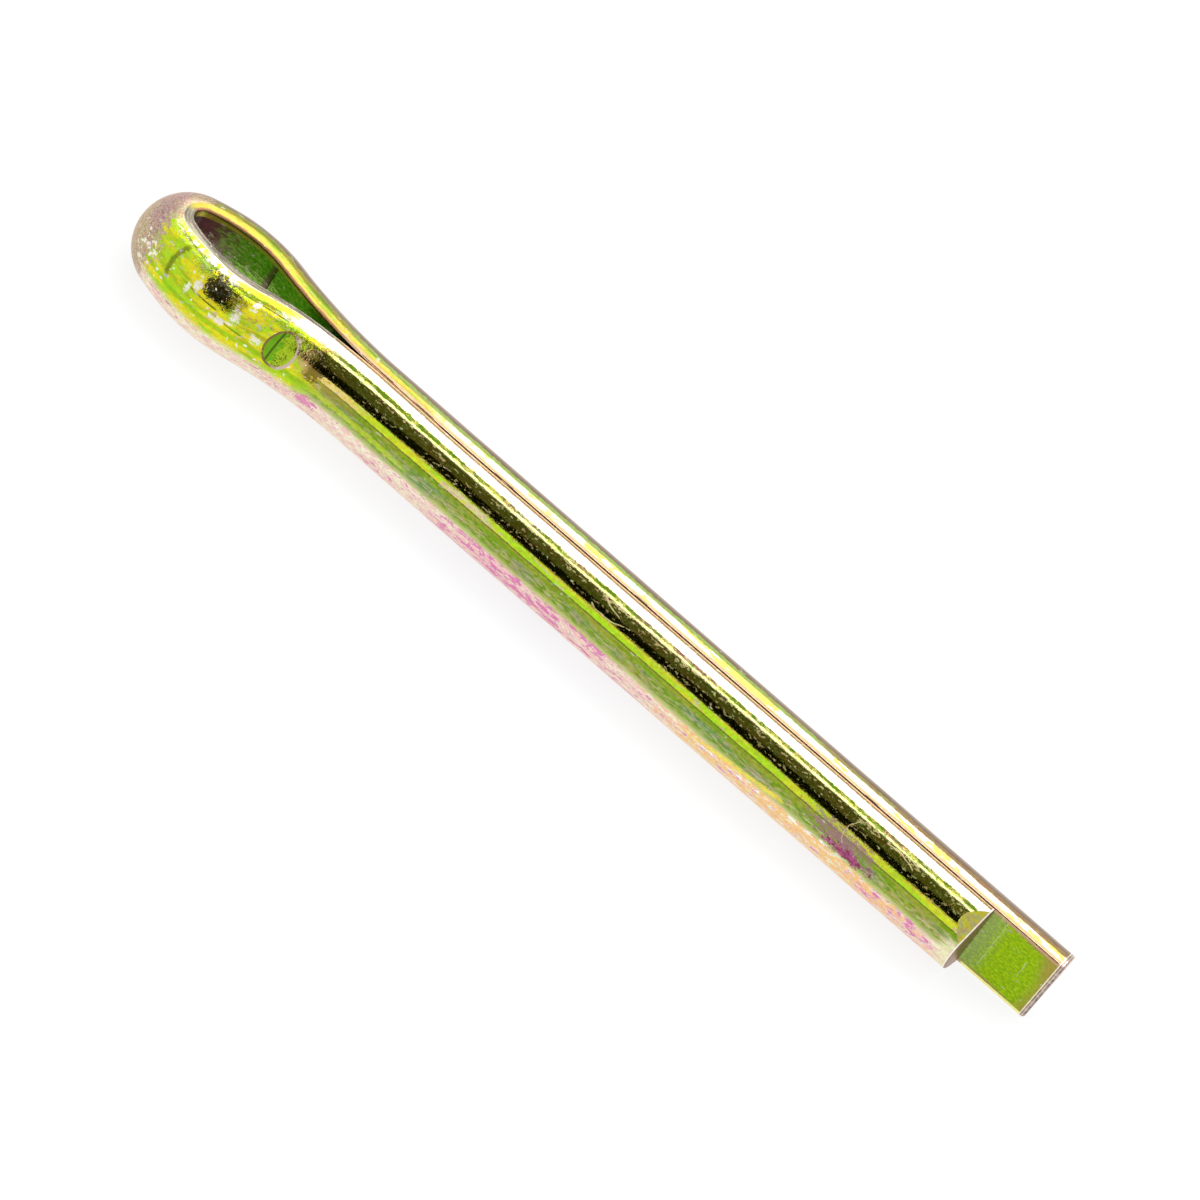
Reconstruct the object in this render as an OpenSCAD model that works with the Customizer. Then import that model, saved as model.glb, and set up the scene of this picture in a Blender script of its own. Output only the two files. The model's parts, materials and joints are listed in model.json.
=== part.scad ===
// Cotter pin: one half-round wire folded flat to flat, with an eye at the fold and one leg left
// longer than the other.
// The pin lies as it would rest, with the opening of its eye upright. +X runs from the crown of
// the eye to the tips, the short leg is on the -Y side and the wire touches Z = 0.

/* [Wire] */
// Diameter over the two legs where they lie together
shank_d = 4.6; // [2.6:0.1:8]
// Gap left between the flats of the closed legs
leg_gap = 0.1; // [0.04:0.01:0.3]
// Radius on the two corners of the half-round wire
corner_r = 0.18; // [0.05:0.01:0.4]

/* [Legs] */
// Overall length, from the crown of the eye to the tip of the long leg
overall_l = 57.9; // [30:0.1:140]
// Length by which the short leg stops before the long one
leg_step = 4.2; // [0.5:0.1:10]

/* [Eye] */
// Inside length of the eye, from its crown to where the legs lie together
eye_l = 12; // [9:0.1:20]
// Inside width of the eye at its widest
eye_w = 2.5; // [1.6:0.1:4]
// Distance from the inside of the crown to the widest part of the eye
eye_peak = 3.1; // [2:0.1:4.5]
// Inside radius of the crown
crown_r = 0.7; // [0.3:0.05:1]

/* [Tips] */
// Length of the slanting cut that the shears left on the round of the short leg
shear_l = 1; // [0.4:0.1:2.5]
// Depth of that cut at the tip
shear_depth = 0.38; // [0.1:0.02:0.8]
// Place of that cut round the wire, up from the middle of the round
shear_turn = 50; // [0:5:90]
// Broken edge round the outside of each tip
tip_break = 0.15; // [0.05:0.05:0.4]

/* [Hidden] */
$fn = 96;
plating = "yellowgreen";

// Half-round section: its corner radii, half its height and its depth behind the flat
shank_r = shank_d / 2;
flat_y = leg_gap / 2;
corner_y = flat_y + corner_r;
corner_z = sqrt(pow(shank_r - corner_r, 2) - pow(corner_y, 2));
half_h = corner_z + corner_r;
wire_t = shank_r - flat_y;

// Each side of the eye is three arcs that run into each other: crown, flank and neck. These two
// give the flank's radius, from the widest point, and the neck's, from where it meets the leg.
half_w = eye_w / 2;
flank_fit = (pow(eye_peak - crown_r, 2) + pow(half_w, 2) - pow(crown_r, 2)) / (2 * (half_w - crown_r));
neck_fit = (pow(eye_l - eye_peak, 2) + pow(half_w - flat_y, 2)) / (2 * (half_w - flat_y)) - flank_fit;

// Directions from the flank's centre to its two ends, in thousandths of a degree
crown_end = thousandth(atan2(flank_fit - half_w, crown_r - eye_peak));
neck_turn = thousandth(asin((eye_l - eye_peak) / (flank_fit + neck_fit)));

// Radii and centres that make the arcs meet exactly at those directions
flank_r = (half_w - crown_r * sin(crown_end)) / (1 - sin(crown_end));
crown_x = wire_t - overall_l / 2 + crown_r;
flank_x = crown_x - (flank_r - crown_r) * cos(crown_end);
flank_c = half_w - flank_r;
neck_r = (flank_c + flank_r * cos(neck_turn) - flat_y) / (1 - cos(neck_turn));
leg_x = flank_x + (flank_r + neck_r) * sin(neck_turn);

long_tip_x = overall_l / 2;
short_tip_x = long_tip_x - leg_step;
// Reach of a cutting solid, past every face that it has to clear
reach = 2 * shank_d;

function thousandth(x) = round(1000 * x) / 1000;

// Moves its children by v in three steps of finer size, which keeps every digit of a long number
module place(v) {
    whole = [for (c = v) round(c)];
    part = [for (c = v - whole) thousandth(c)];
    translate(whole) translate(part) translate(v - whole - part) children();
}

// Half-round wire section, flat at x = leg_gap / 2 and its round towards +x
module wire_section() {
    tangent = [corner_y, corner_z] * shank_r / (shank_r - corner_r);
    difference() {
        intersection() {
            circle(r = shank_r);
            translate([flat_y, -shank_r]) square([shank_r, shank_d]);
        }
        for (side = [-1, 1])
            polygon([[flat_y - corner_r, side * corner_z], [corner_y, side * corner_z],
                     [tangent[0], side * tangent[1]], [tangent[0], side * reach],
                     [flat_y - corner_r, side * reach]]);
    }
    for (side = [-1, 1]) translate([corner_y, side * corner_z]) circle(r = corner_r);
}

// Bend round an upright axis with the round of the wire outside and its flat at radius r
module outward_bend(r, from, to) {
    rotate_extrude(start = from, angle = to - from) place([r - flat_y, 0, 0]) wire_section();
}

// Bend with the round of the wire towards the axis and its flat at radius r
module inward_bend(r, from, to) {
    rotate_extrude(start = from, angle = to - from)
        place([r + flat_y, 0, 0]) mirror([1, 0, 0]) wire_section();
}

// Crown of the eye, between its two flanks
module crown() {
    place([crown_x, 0, 0]) outward_bend(crown_r, crown_end, 360 - crown_end);
}

// Flank and neck of the eye on the +Y side, down to the start of the leg
module eye_side() {
    place([flank_x, flank_c, 0]) outward_bend(flank_r, 90 - neck_turn, crown_end);
    place([leg_x, flat_y + neck_r, 0]) inward_bend(neck_r, 270 - neck_turn, 270);
}

// Straight leg on the +Y side with a broken edge round its tip
module leg(tip_x) {
    length = tip_x - leg_x;
    place([leg_x, 0, 0]) intersection() {
        rotate([90, 0, 90]) linear_extrude(height = length) wire_section();
        rotate([0, 90, 0]) {
            cylinder(r = shank_r + tip_break, h = length - 2 * tip_break);
            translate([0, 0, length - 2 * tip_break])
                cylinder(r1 = shank_r + tip_break, r2 = shank_r - tip_break, h = 2 * tip_break);
        }
    }
}

// Block that takes the slanting shear cut off the round of the short leg
module shear_block() {
    place([short_tip_x, 0, 0]) rotate([90 - shear_turn, 0, 0]) translate([0, 0, shank_r - shear_depth])
        rotate([0, atan2(shear_depth, shear_l), 0]) translate([-reach, -reach, 0]) cube(2 * reach);
}

module cotter_pin() {
    color(plating) translate([0, 0, half_h]) {
        crown();
        eye_side();
        mirror([0, 1, 0]) eye_side();
        leg(long_tip_x);
        difference() {
            mirror([0, 1, 0]) leg(short_tip_x);
            shear_block();
        }
    }
}

cotter_pin();
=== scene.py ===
# %% [markdown]
# # A cotter pin
#
# A cotter pin is one length of half-round wire, folded flat to flat. The fold is left open as an
# eye, and one leg is left longer than the other so that the two can be prised apart once the pin
# is in its hole. This one is steel with a zinc plating, and the plating has a yellow passivate,
# which is a film so thin that it shows colours as oil does on water.
#
# The measured model of the pin is loaded first. It fixes where everything is, and nothing made
# here moves or resizes it.

# %% Load the measured model
import json
import math

import bpy
from mathutils import Matrix, Vector, noise


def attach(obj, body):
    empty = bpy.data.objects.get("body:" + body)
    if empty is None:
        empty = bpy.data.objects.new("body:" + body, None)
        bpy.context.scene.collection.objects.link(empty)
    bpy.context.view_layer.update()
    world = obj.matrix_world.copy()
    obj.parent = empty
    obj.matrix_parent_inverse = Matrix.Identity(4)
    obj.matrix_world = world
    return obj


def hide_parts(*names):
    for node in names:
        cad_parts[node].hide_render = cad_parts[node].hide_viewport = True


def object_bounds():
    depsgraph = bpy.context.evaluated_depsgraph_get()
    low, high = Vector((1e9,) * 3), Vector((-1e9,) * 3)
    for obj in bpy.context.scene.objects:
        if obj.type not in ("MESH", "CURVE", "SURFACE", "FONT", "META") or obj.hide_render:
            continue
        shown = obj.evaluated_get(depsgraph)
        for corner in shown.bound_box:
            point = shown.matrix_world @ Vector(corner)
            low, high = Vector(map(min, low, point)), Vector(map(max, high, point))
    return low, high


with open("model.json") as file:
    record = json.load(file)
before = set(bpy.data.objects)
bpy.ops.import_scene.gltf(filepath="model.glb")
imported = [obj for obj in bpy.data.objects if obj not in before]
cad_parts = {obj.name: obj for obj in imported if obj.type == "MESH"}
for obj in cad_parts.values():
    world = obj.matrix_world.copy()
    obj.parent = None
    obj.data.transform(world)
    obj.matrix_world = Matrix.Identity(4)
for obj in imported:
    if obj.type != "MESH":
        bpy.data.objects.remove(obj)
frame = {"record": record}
cad_low, cad_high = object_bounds()
MM = 0.001
print("measured model, mm:", [round(v / MM, 2) for v in cad_high - cad_low])

# %% [markdown]
# ## Sizes
#
# Everything is worked out from the measured model: its box gives the length, the width over the
# eye and the height, and its mounts give the shank's radius, the start of the straight legs and
# the widest part of the eye. Only what those cannot tell is written here as a number.

# %% Sizes of the wire
mounts = {m["name"]: m for m in frame["record"]["mounts"]}
shank_r = mounts["shank"]["dims"]["r_mm"] * MM
leg_x = mounts["shank"]["pos_m"][0]
peak_x = mounts["eye"]["pos_m"][0]
axis_z = (cad_low.z + cad_high.z) / 2
flat_y = 0.01 * MM
corner_r = 0.1 * MM
crown_r = 0.7 * MM
leg_step = 4.35 * MM
long_tip_x = cad_high.x
short_tip_x = long_tip_x - leg_step
print("shank radius %.2f mm, legs end at %.2f and %.2f mm"
      % (shank_r / MM, long_tip_x / MM, short_tip_x / MM))

# %% [markdown]
# ## The path of the wire
#
# Three arcs make each side of the eye: crown, flank and neck. Each runs on into the next with no
# kink, because bent wire has none, and that fixes the radii of the last two once the eye's width
# and the place of its widest part are known.

# %% Path of the wire
wire_t = shank_r - flat_y
half_w = cad_high.y - wire_t
crown_flat_x = cad_low.x + wire_t
peak = peak_x - crown_flat_x
flank_r = ((peak - crown_r) ** 2 + half_w ** 2 - crown_r ** 2) / (2 * (half_w - crown_r))
run = leg_x - peak_x
drop = half_w - flat_y
neck_r = (run ** 2 + drop ** 2) / (2 * drop) - flank_r
neck_turn = math.asin(run / (flank_r + neck_r))
crown_end = math.atan2(flank_r - half_w, crown_r - peak)
flank_turn = crown_end - (math.pi / 2 - neck_turn)
crown_x = crown_flat_x + crown_r
flank_c = half_w - flank_r
neck_c = flat_y + neck_r
print("flank radius %.2f mm, neck radius %.2f mm" % (flank_r / MM, neck_r / MM))

# %% [markdown]
# ## The wire's section
#
# The real wire is rolled half-round before it is folded. The section could be drawn point by
# point, but a disc cut down its middle is quicker and true. The points next to each sharp corner
# are dissolved to leave room, and the corners are then bevelled. The flat is one long edge, so it
# is subdivided to carry the detail that comes later.

# %% Helpers for working in edit mode
def select(kind, test):
    """Selects the vertices, edges or faces of the mesh in edit mode that pass a test."""
    mesh = bpy.context.edit_object.data
    bpy.ops.mesh.select_mode(type=kind)
    bpy.ops.mesh.select_all(action="DESELECT")
    bpy.ops.object.mode_set(mode="OBJECT")
    parts = {"VERT": mesh.vertices, "EDGE": mesh.edges, "FACE": mesh.polygons}[kind]
    count = 0
    for part in parts:
        corners = [part] if kind == "VERT" else [mesh.vertices[i] for i in part.vertices]
        part.select = test([v.co for v in corners])
        count += part.select
    bpy.ops.object.mode_set(mode="EDIT")
    return count


def near(a, b, reach=0.001 * MM):
    return abs(a - b) < reach


# %% Section of the wire, at the tip of the long leg
bpy.ops.object.select_all(action="DESELECT")
bpy.ops.mesh.primitive_circle_add(vertices=120, radius=shank_r, fill_type="NGON",
                                  location=(long_tip_x, 0, axis_z), rotation=(0, math.pi / 2, 0))
pin = bpy.context.object
pin.name = "cotter_pin_wire"
bpy.ops.object.transform_apply(location=True, rotation=True, scale=True)
bpy.ops.object.mode_set(mode="EDIT")
bpy.ops.mesh.select_all(action="SELECT")
bpy.ops.mesh.bisect(plane_co=(0, flat_y, 0), plane_no=(0, 1, 0), clear_inner=True,
                    threshold=1e-8)
room = 1.2 * corner_r
print("points next to the corners:",
      select("VERT", lambda co: flat_y + 0.001 * MM < co[0].y < flat_y + room))
bpy.ops.mesh.dissolve_verts()
print("corners:", select("VERT", lambda co: near(co[0].y, flat_y)))
bpy.ops.mesh.bevel(offset=corner_r, segments=4, affect="VERTICES")
print("flat edge:", select("EDGE", lambda co: all(near(c.y, flat_y) for c in co)))
bpy.ops.mesh.subdivide(number_cuts=29)
bpy.ops.mesh.select_all(action="SELECT")
bpy.ops.mesh.delete(type="ONLY_FACE")
bpy.ops.mesh.select_all(action="SELECT")
print("section of", len(pin.data.vertices), "points")

# %% [markdown]
# ## Sweeping the section along the wire
#
# A curve with a profile could make the sweep, but its rings bunch up in tight bends. Here the
# section is drawn along the path as a draughtsman would: an extrude for each straight leg, and a
# spin about its own centre for each of the five bends. Each operator leaves the newest ring
# selected, so the next one carries on from it.

# %% Sweep
def straight(distance):
    bpy.ops.mesh.extrude_region_move(TRANSFORM_OT_translate={"value": (distance, 0, 0)})


def bend(x, y, angle, steps):
    bpy.ops.mesh.spin(steps=steps, angle=angle, center=(x, y, axis_z), axis=(0, 0, 1))


straight(leg_x - long_tip_x)
bend(leg_x, neck_c, neck_turn, 40)
bend(peak_x, flank_c, -flank_turn, 40)
bend(crown_x, 0, -2 * (math.pi - crown_end), 56)
bend(peak_x, -flank_c, -flank_turn, 40)
bend(leg_x, -neck_c, neck_turn, 40)
straight(short_tip_x - leg_x)
print("bends turn by %.1f, %.1f and %.1f degrees"
      % tuple(math.degrees(a) for a in (neck_turn, flank_turn, 2 * (math.pi - crown_end))))

# %% [markdown]
# ## Closing the tips
#
# The long edges of the legs are subdivided, so that faces are about as long there as they are in
# the eye. The sweep is still an open tube, so each end is filled with one face, and the faces are
# all turned to point outwards.

# %% Closed ends
select("EDGE", lambda co: abs(co[0].x - co[1].x) > 5 * MM)
bpy.ops.mesh.subdivide(number_cuts=120)
for tip_x in (long_tip_x, short_tip_x):
    select("EDGE", lambda co: all(near(c.x, tip_x) for c in co))
    bpy.ops.mesh.edge_face_add()
bpy.ops.mesh.select_all(action="SELECT")
bpy.ops.mesh.normals_make_consistent(inside=False)
print("closed wire of", len(pin.data.polygons), "faces")

# %% [markdown]
# ## Trimming the tips
#
# The wire was sheared off, and shears leave no square end. The short leg lost a slice of its
# round, and its end is a few degrees off square. The long leg's end leans a little. A boolean
# would do this too, but each is a plane, and one bisect that fills its own cut is enough.

# %% Three cuts
shear_l, shear_depth, shear_turn = 1 * MM, 0.38 * MM, math.radians(50)
slope = math.atan2(shear_depth, shear_l)
end_slope = math.radians(4)
lean = math.radians(1.6)
outward = Vector((0, -math.cos(shear_turn), math.sin(shear_turn)))
SHORT, LONG = -1, 1
slice_cut = (Vector((short_tip_x, 0, axis_z)) + outward * (shank_r - shear_depth),
             outward * math.cos(slope) + Vector((math.sin(slope), 0, 0)), SHORT)
short_cut = (Vector((short_tip_x, 0, axis_z)),
             Vector((math.cos(end_slope), -math.sin(end_slope), 0)), SHORT)
long_cut = (Vector((long_tip_x, 0, axis_z + shank_r)),
            Vector((math.cos(lean), 0, -math.sin(lean))), LONG)
for point, normal, leg in (slice_cut, short_cut, long_cut):
    select("FACE", lambda co: min(c.x for c in co) > short_tip_x - 3 * MM and co[0].y * leg > 0)
    bpy.ops.mesh.bisect(plane_co=point, plane_no=normal, clear_outer=True, use_fill=True,
                        threshold=1e-8)
bpy.ops.mesh.select_all(action="SELECT")
bpy.ops.mesh.normals_make_consistent(inside=False)
print("trimmed wire of", len(pin.data.polygons), "faces")

# %% [markdown]
# ## Rims of the tips
#
# The slice's rim is crisp, so it is marked sharp: smooth shading then stops at it, and does not
# bend the round's reflections before the edge. The rims of the two ends were dulled when the
# pins tumbled in the plating barrel, and get a small bevel each.

# %% Broken rims
def select_rim(point, normal, leg):
    """Selects the edges of one leg that lie in the plane of a cut."""
    return select("EDGE", lambda co: all(
        abs((c - point).dot(normal)) < 1e-7 and c.y * leg > 0 for c in co))


print("rim of the sheared slice:", select_rim(*slice_cut))
bpy.ops.mesh.mark_sharp()
for cut, reach in ((long_cut, 0.14 * MM), (short_cut, 0.06 * MM)):
    print("rim of a tip:", select_rim(*cut))
    bpy.ops.mesh.bevel(offset=reach, segments=3, affect="EDGES")
bpy.ops.object.mode_set(mode="OBJECT")
print("points:", len(pin.data.vertices), "faces:", len(pin.data.polygons))

# %% [markdown]
# ## Coordinates that follow the wire
#
# Marks and stains on a bent wire are easiest to place as if it were still straight. A UV map
# could do it, but has only two numbers. For every point this works out how far along the wire it
# lies, counted from the middle of the crown and negative towards the short leg, how far out from
# the flat it is, and how high it is above the wire's middle, all in millimetres. The finish reads
# the three numbers as one attribute.

# %% Coordinates along the wire
mid = 1.1 * MM
crown_u = (crown_r + mid) * (math.pi - crown_end)
flank_u = crown_u + (flank_r + mid) * flank_turn
neck_u = flank_u + (neck_r - mid) * neck_turn


def unbend(co):
    """Where a point would lie, in millimetres, if the wire were straightened."""
    side = 1 if co.y >= 0 else -1
    out, height = abs(co.y), co.z - axis_z
    neck_at = math.atan2(leg_x - co.x, neck_c - out)
    flank_at = math.atan2(out - flank_c, co.x - peak_x)
    if co.x > leg_x:
        along, depth = neck_u + co.x - leg_x, out - flat_y
    elif neck_at < neck_turn and co.x > peak_x:
        along = neck_u - (neck_r - mid) * neck_at
        depth = neck_r - math.hypot(leg_x - co.x, neck_c - out)
    elif flank_at < crown_end:
        along = crown_u + (flank_r + mid) * (crown_end - flank_at)
        depth = math.hypot(out - flank_c, co.x - peak_x) - flank_r
    else:
        along = (crown_r + mid) * math.atan2(out, crown_x - co.x)
        depth = math.hypot(out, crown_x - co.x) - crown_r
    return Vector((side * along, depth + flat_y, height)) / MM


wire = [unbend(v.co) for v in pin.data.vertices]
print("wire runs from %.1f to %.1f mm" % (min(w.x for w in wire), max(w.x for w in wire)))
print("the eye closes %.1f mm from the crown, along the wire" % (neck_u / MM))

# %% [markdown]
# ## Unevenness
#
# Drawn wire is never quite even, and shiny metal shows it in its reflections. A displacement in
# the material would show in renders only, so the points themselves are moved. All of them drift
# by a hundredth of a millimetre or so. Towards the tips the seam lies a little off the middle, the
# crown is drawn out a little, most at its inside corner, and the tool that closed the eye left the
# inner edge of the short leg's side a little higher and nearer the middle.

# %% Unevenness
def smooth(value, low, high):
    t = min(max((value - low) / (high - low), 0), 1)
    return t * t * (3 - 2 * t)


def stray(along, depth, height):
    """How far the drawn surface strays inwards, in millimetres: a slow wave and a quick one."""
    slow = noise.noise(Vector((along * 0.25, depth * 0.5, height * 0.5))) * 0.008
    quick = noise.noise(Vector((along * 0.9 + 40, depth * 1.2, height * 1.2))) * 0.003
    return slow + quick


skin = 0.008
seam_shift, lip = 0.13 * MM, 0.09 * MM
crown_out, corner_out = 0.16 * MM, 0.08 * MM
strays = [stray(*w) for w in wire]
normals = [v.normal.copy() for v in pin.data.vertices]
points = zip(pin.data.vertices, normals, wire, strays)
for vertex, normal, (along, depth, height), inwards in points:
    x, inner = vertex.co.x / MM, 1 - min(depth / (shank_r / MM), 1)
    vertex.co -= normal * (inwards + skin) * smooth(depth, 0.05, 0.3) * MM
    vertex.co.y -= seam_shift * inner * smooth(x, -17, -9)
    crown_end_x = -28.6 + 2.4 * inner
    in_crown = 1 - smooth(x, crown_end_x, crown_end_x + 2.4)
    vertex.co.x -= (crown_out + corner_out * inner) * in_crown
    if along < 0.5:
        eye_closing = 1 - smooth(x, -20.5, -16)
        vertex.co.y += lip * inner * smooth(x, -27.5, -25) * eye_closing
        vertex.co.z += lip * inner * smooth(height, 0.5, 2.2) * eye_closing
print("surface strays by %.3f to %.3f mm" % (min(strays), max(strays)))

# %% [markdown]
# ## Joining the frame
#
# The straightened coordinates are stored on the mesh, and edges flatter than a few degrees are
# shaded smooth, which keeps the tips' rims crisp. The pin has no joint, so it rides on the one
# body there is, and it is shown in place of the measured model.

# %% Attribute, shading and ride
attribute = pin.data.attributes.new("wire", "FLOAT_VECTOR", "POINT")
attribute.data.foreach_set("vector", [c for w in wire for c in w])
bpy.ops.object.shade_smooth_by_angle(angle=math.radians(24))
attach(pin, "root")
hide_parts("cotter_pin")
print("attributes:", [a.name for a in pin.data.attributes if not a.name.startswith(".")])

# %% [markdown]
# ## Tools for building a finish
#
# The finish is one material with many nodes, which could be wired by hand in the shader editor.
# Written as arithmetic it is shorter and can be read from top to bottom. A Socket stands for a
# value that varies over the surface, and plus, minus, times and divided by add the Math nodes.
# Every other node comes from one method, which sets the node's options before its sockets.

# %% Tools for building a finish
class Socket:
    """A shader value that can be used in ordinary arithmetic, which adds the Math nodes."""

    def __init__(self, finish, socket):
        self.finish, self.socket = finish, socket

    def math(self, operation, *values):
        return self.finish.node("Math", {"operation": operation}, dict(enumerate((self, *values))))

    def __add__(self, other):
        return self.math("ADD", other)

    def __sub__(self, other):
        return self.math("SUBTRACT", other)

    def __mul__(self, other):
        return self.math("MULTIPLY", other)

    def __truediv__(self, other):
        return self.math("DIVIDE", other)

    def __rsub__(self, other):
        return self.finish.node("Math", {"operation": "SUBTRACT"}, {0: other, 1: self})

    __radd__, __rmul__ = __add__, __mul__


class Finish:
    """A material whose nodes are made one call at a time."""

    def __init__(self, name):
        self.material = bpy.data.materials.new(name)
        self.material.use_nodes = True
        self.tree = self.material.node_tree
        self.tree.nodes.clear()

    def node(self, kind, settings, sockets, out=0):
        node = self.tree.nodes.new("ShaderNode" + kind)
        for key, value in settings.items():
            setattr(node, key, value)
        for key, value in sockets.items():
            if isinstance(value, Socket):
                self.tree.links.new(value.socket, node.inputs[key])
            else:
                node.inputs[key].default_value = value
        return Socket(self, node.outputs[out]) if node.outputs else node


plate = Finish("yellow_zinc_plate")
print("finish", plate.material.name)

# %% [markdown]
# ## Masks, mixes and grain
#
# Plating has no hard borders, so nearly every mask is a smooth climb from 0 to 1, made by one Map
# Range node. Two climbs make a strip. The noise is laid over the straightened wire and stretched
# along it, because the film ran and dried along the pin.

# %% Masks, mixes and grain
def rise(value, low, high):
    """Climbs smoothly from 0 to 1 as the value goes from low to high."""
    return plate.node("MapRange", {"interpolation_type": "SMOOTHSTEP"},
                      {0: value, 1: low, 2: high})


def between(value, low, high, soft):
    """Is 1 from low to high and 0 outside, over soft edges."""
    return rise(value, low - soft, low + soft) * (1 - rise(value, high - soft, high + soft))


def mix(factor, a, b):
    a, b = (c if isinstance(c, Socket) else (*c, 1) for c in (a, b))
    return plate.node("Mix", {"data_type": "RGBA"}, {0: factor, 6: a, 7: b}, out=2)


def vector(operation, *values, out=0):
    return plate.node("VectorMath", {"operation": operation}, dict(enumerate(values)), out)


def grain(over, stretch, scale, detail=2.0, seed=0.0):
    """Noise over the wire, stretched along it. The seed moves it, so that no two match."""
    spread = vector("MULTIPLY_ADD", over, (1 / stretch, 1, 1), (seed, seed, 0))
    return plate.node("TexNoise", {}, {"Vector": spread, "Scale": scale, "Detail": detail})


def count_nodes(step):
    print(step, "- nodes so far:", len(plate.tree.nodes))


# %% [markdown]
# ## Where on the wire
#
# Each stain is placed by where it lies: u, w and h are the straightened coordinates, x runs along
# the finished pin, and turn is the angle around the round, with 0 level at the side and 90 on top.
# From these come masks for the flats, the crown, the eye, the two legs, and the distance from the
# wire's sharp corner.

# %% Where on the wire
where = plate.node("Attribute", {"attribute_name": "wire"}, {}, out=1)
u, w, h = (plate.node("SeparateXYZ", {}, {0: where}, out=n) for n in range(3))
place = plate.node("TexCoord", {}, {}, out=3)
x = plate.node("SeparateXYZ", {}, {0: place}) * (1 / MM)
off_middle = h.math("ABSOLUTE")
from_crown = u.math("ABSOLUTE")
turn = h.math("ARCTAN2", w) * (180 / math.pi)
flat = (1 - rise(w, 0.03, 0.08)) * (1 - rise(off_middle, 2.12, 2.25))
profile = plate.node("CombineXYZ", {}, {0: w, 1: off_middle, 2: 0.0})
off_corner = vector("DISTANCE", profile, (0.02, 2.3, 0), out=1)
crown = 1 - rise(from_crown, 1.8, 4.2)
eye = 1 - rise(from_crown, neck_u / MM - 3.4, neck_u / MM - 1.6)
long_side = rise(u, -0.5, 0.5)
short_side = 1 - long_side
count_nodes("places")

# %% [markdown]
# ## Unevenness of the film
#
# A passivate is thicker where the bath ran off slowly, so its colours come in drifts of several
# millimetres, blotches of one, and dust as fine as the wire's own texture. Each is a noise of its
# own size. The borders between the colours wander with the drifts: a ragged turn is used for most
# of them, and an even one for the few that run straight.

# %% Unevenness of the film
patch_a = grain(where, 4.0, 0.9, 3.0)
patch_b = grain(where, 3.0, 1.6, 3.0, 7.0)
patch_c = grain(where, 6.0, 2.6, 4.0, 21.0)
blotch = grain(where, 2.2, 4.0, 5.0, 61.0)
fine = grain(where, 1.5, 7.0, 3.0, 3.0)
dust = grain(where, 1.0, 14.0, 2.0, 43.0)
streak = grain(where, 16.0, 6.0, 3.0, 11.0)
here = vector("MULTIPLY", place, (1 / MM, 1 / MM, 1 / MM))
crumb = grain(here, 1.0, 4.0, 6.0, 0.0)
ragged_turn = turn + (patch_b - 0.5) * 5 + (fine - 0.5) * 7
even_turn = turn + (patch_b - 0.5) * 2 + (dust - 0.5) * 2


def length(a, b):
    point = plate.node("CombineXYZ", {}, {0: a, 1: b, 2: 0.0})
    return vector("LENGTH", point, out=1)


def spot(x_at, turn_at, reach, spread, ragged=0.0):
    """A patch on the short leg's round, at a place along the pin and a turn around the wire."""
    offset = length((x - x_at) / reach, (turn - turn_at) / spread)
    edge = offset + (blotch - 0.5) * ragged + (dust - 0.5) * ragged * 0.8
    return (1 - rise(edge, 0.85, 1.1)) * short_side


count_nodes("unevenness")

# %% [markdown]
# ## Underside of the round
#
# The lowest part of the round is pale, and pink or gold where the film is thickest, with rosy
# patches. The round is coloured from here upwards, each strip laid over the one below it, as if
# it were painted from bottom to top with a flat brush.

# %% Underside of the round
PINK = (0.86, 0.58, 0.52)
GOLD = (0.92, 0.58, 0.25)
# The pale colour is the film's own on the underside, and painted highlight where it is laid on the
# top of the round, the long leg's strip and the eye.
PALE_FILM_AND_HIGHLIGHT = (0.90, 0.83, 0.62)
ROSE = (0.70, 0.15, 0.42)
CHALK = (0.98, 0.93, 0.88)

thread = grain(where, 5.0, 12.0, 4.0, 51.0)
warm = between(x + (patch_b - 0.5) * 8, 6, 22, 2.5)
under = mix(rise(blotch - warm * 0.07, 0.4, 0.54), mix(warm, PINK, GOLD), PALE_FILM_AND_HIGHLIGHT)
rosy = (between(x, -9, 5, 3) * 0.07 + between(x, 17, 25, 2) * 0.025
        + between(x, -18, -9, 3) * 0.02)
rose_patches = blotch * 0.4 + patch_c * 0.25 + fine * 0.2 + thread * 0.15 + rosy
under = mix(rise(rose_patches, 0.54, 0.6) * 0.9, under, ROSE)
under = mix(rise(fine, 0.6, 0.68) * 0.5, under, CHALK)
count_nodes("underside")

# %% [markdown]
# ## Green band
#
# Above the underside the film turns green, from teal to olive, with grey where it is thin. Long
# threads, darker and lighter, follow the direction the wire was drawn in.

# %% Green band
GREEN = (0.19, 0.34, 0.012)
OLIVE = (0.33, 0.35, 0.04)
TEAL = (0.17, 0.30, 0.11)
GREY = (0.30, 0.27, 0.21)
DRAB = (0.46, 0.38, 0.24)
LEAF = (0.09, 0.24, 0.008)
STRAW = (0.62, 0.66, 0.26)

band = mix(rise(patch_c + (fine - 0.5) * 0.7, 0.42, 0.62), GREEN, OLIVE)
band = mix(rise(patch_b + (fine - 0.5) * 0.6, 0.54, 0.7) * 0.7, band, GREY)
band = mix(rise(patch_a, 0.48, 0.6) * rise(patch_c, 0.38, 0.55), band, TEAL)
pale_streaks = between(ragged_turn, 13, 16, 2) * rise(streak * 0.6 + blotch * 0.4, 0.44, 0.6)
band = mix(pale_streaks * 0.35, band, PALE_FILM_AND_HIGHLIGHT)
band = mix(rise(thread, 0.5, 0.6) * 0.6, band, DRAB)
band = mix((1 - rise(thread, 0.4, 0.48)) * 0.6, band, LEAF)
band = mix((1 - rise(ragged_turn, 3, 12)) * 0.7, band, STRAW)
colour = mix(rise(ragged_turn, -1, 5), under, band)
count_nodes("green band")

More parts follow.
